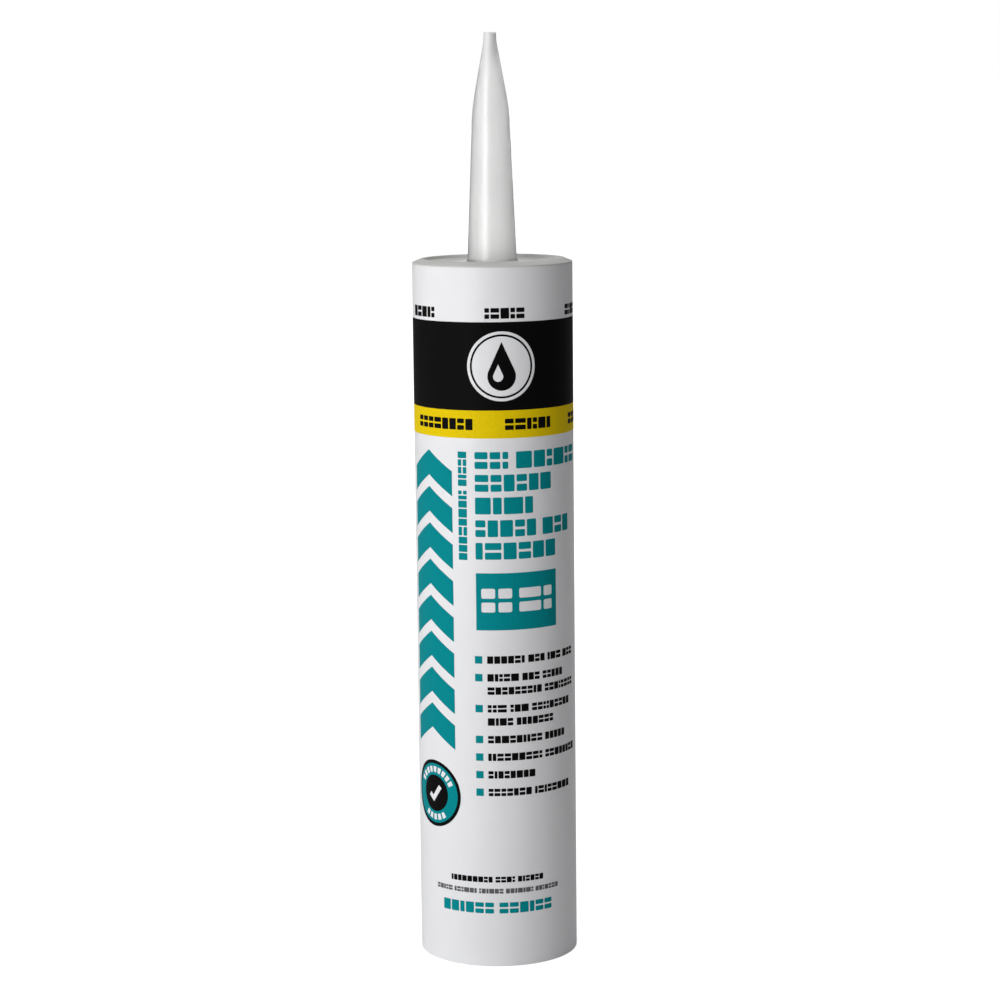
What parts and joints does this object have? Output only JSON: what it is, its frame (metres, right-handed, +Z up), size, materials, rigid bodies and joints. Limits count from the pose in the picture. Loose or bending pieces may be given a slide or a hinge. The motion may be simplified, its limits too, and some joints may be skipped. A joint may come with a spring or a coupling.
{
  "type": "sealant cartridge",
  "caption": "Straight plastic cartridge of sealant with a closed tapered nozzle, printed barrel and a sliding plunger behind the fill, for a caulking gun.",
  "frame": {"origin": "centre of the ring that the barrel's open back end stands on", "axes": "+Z up along the barrel's axis towards the nozzle tip; the front of the print faces -Y, and +X is to its right"},
  "size_m": [0.0492, 0.0492, 0.2845],
  "materials": {
    "white_polyethylene": "smooth satin gloss, moulded white",
    "natural_polyethylene": "satin, milky and slightly see-through",
    "foil": "plain foil",
    "sealant": "smooth white paste",
    "plunger_polyethylene": "satin, natural white",
    "black_ink": "gloss ink on the barrel",
    "yellow_ink": "gloss ink on the barrel",
    "teal_ink": "gloss ink on the barrel",
    "grey_ink": "gloss ink on the barrel"
  },
  "bodies": {
    "cartridge": {"barrel": "white_polyethylene", "front_end_with_nozzle": "natural_polyethylene", "nozzle_membrane": "foil", "sealant": "sealant", "black_print": "black_ink", "yellow_print": "yellow_ink", "teal_print": "teal_ink", "grey_print": "grey_ink"},
    "plunger": {"plunger": "plunger_polyethylene"}
  },
  "joints": [
    {"name": "plunger_slide", "type": "slide", "parent": "cartridge", "child": "plunger", "axis": [0, 0, 1], "range_m": [0, 0.17], "deforming": ["sealant"]}
  ]
}
